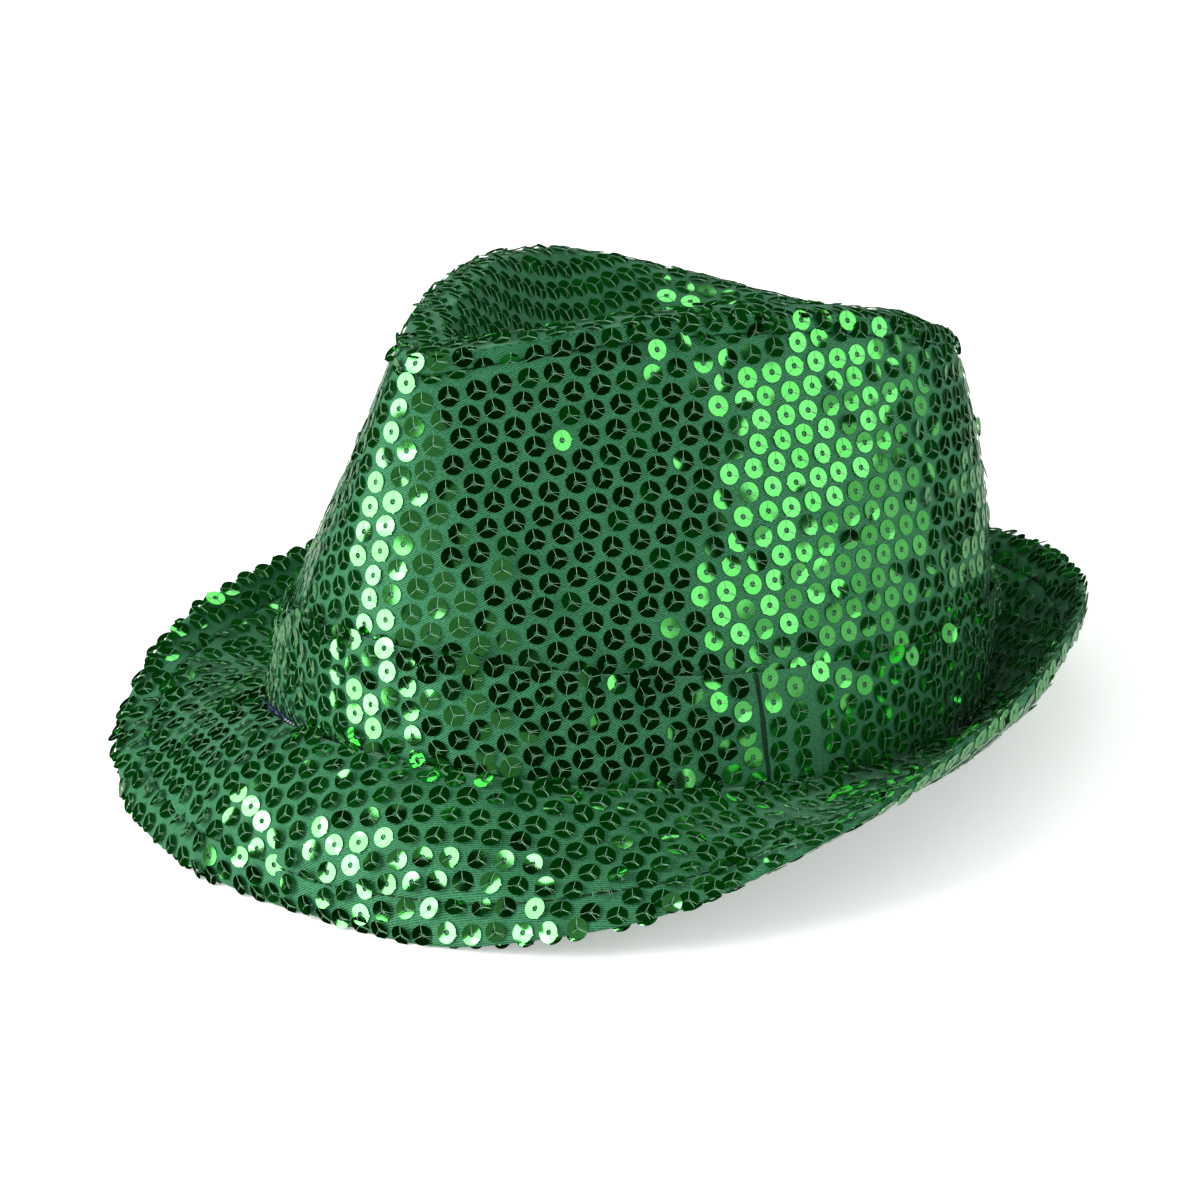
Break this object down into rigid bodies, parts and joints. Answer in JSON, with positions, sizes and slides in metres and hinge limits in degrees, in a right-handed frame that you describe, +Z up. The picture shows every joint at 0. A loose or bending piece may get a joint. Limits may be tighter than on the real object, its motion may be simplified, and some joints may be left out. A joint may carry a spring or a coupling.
{
  "type": "sequin trilby hat",
  "caption": "Green sequinned trilby party hat with a creased teardrop crown, a matching hatband and a snap brim, lined and with a sweatband.",
  "frame": {"origin": "centre of the bounding box's bottom face, on the table the hat stands on", "axes": "+Z up from the table, -Y towards the front of the hat, +X towards the wearer's left; the head opening leans back 7.3 degrees because the hat rests on its front brim and on the back of its brim"},
  "size_m": [0.2464, 0.261, 0.1299],
  "materials": {
    "sequin_cloth": "satin twill set with shiny sequins",
    "stiffener": "matt pressed felt",
    "lining": "satin",
    "sweatband": "ribbed ribbon",
    "green_thread": "sewing thread",
    "navy_thread": "overlock thread",
    "label": "woven satin tape"
  },
  "bodies": {
    "root": {"crown_side": "sequin_cloth", "crown_tip": "sequin_cloth", "crown_side_stiffener": "stiffener", "crown_tip_stiffener": "stiffener", "lining_side": "lining", "lining_tip": "lining", "tip_seam_thread": "navy_thread", "crown_back_seam": "navy_thread", "crown_topstitch": "green_thread", "hatband": "sequin_cloth", "hatband_end_fold": "sequin_cloth", "brim_top": "sequin_cloth", "brim_under": "sequin_cloth", "brim_stiffener": "stiffener", "brim_topstitch": "green_thread", "base_overlock": "navy_thread", "sweatband": "sweatband", "sweatband_stitching": "green_thread", "care_label": "label"}
  },
  "joints": []
}
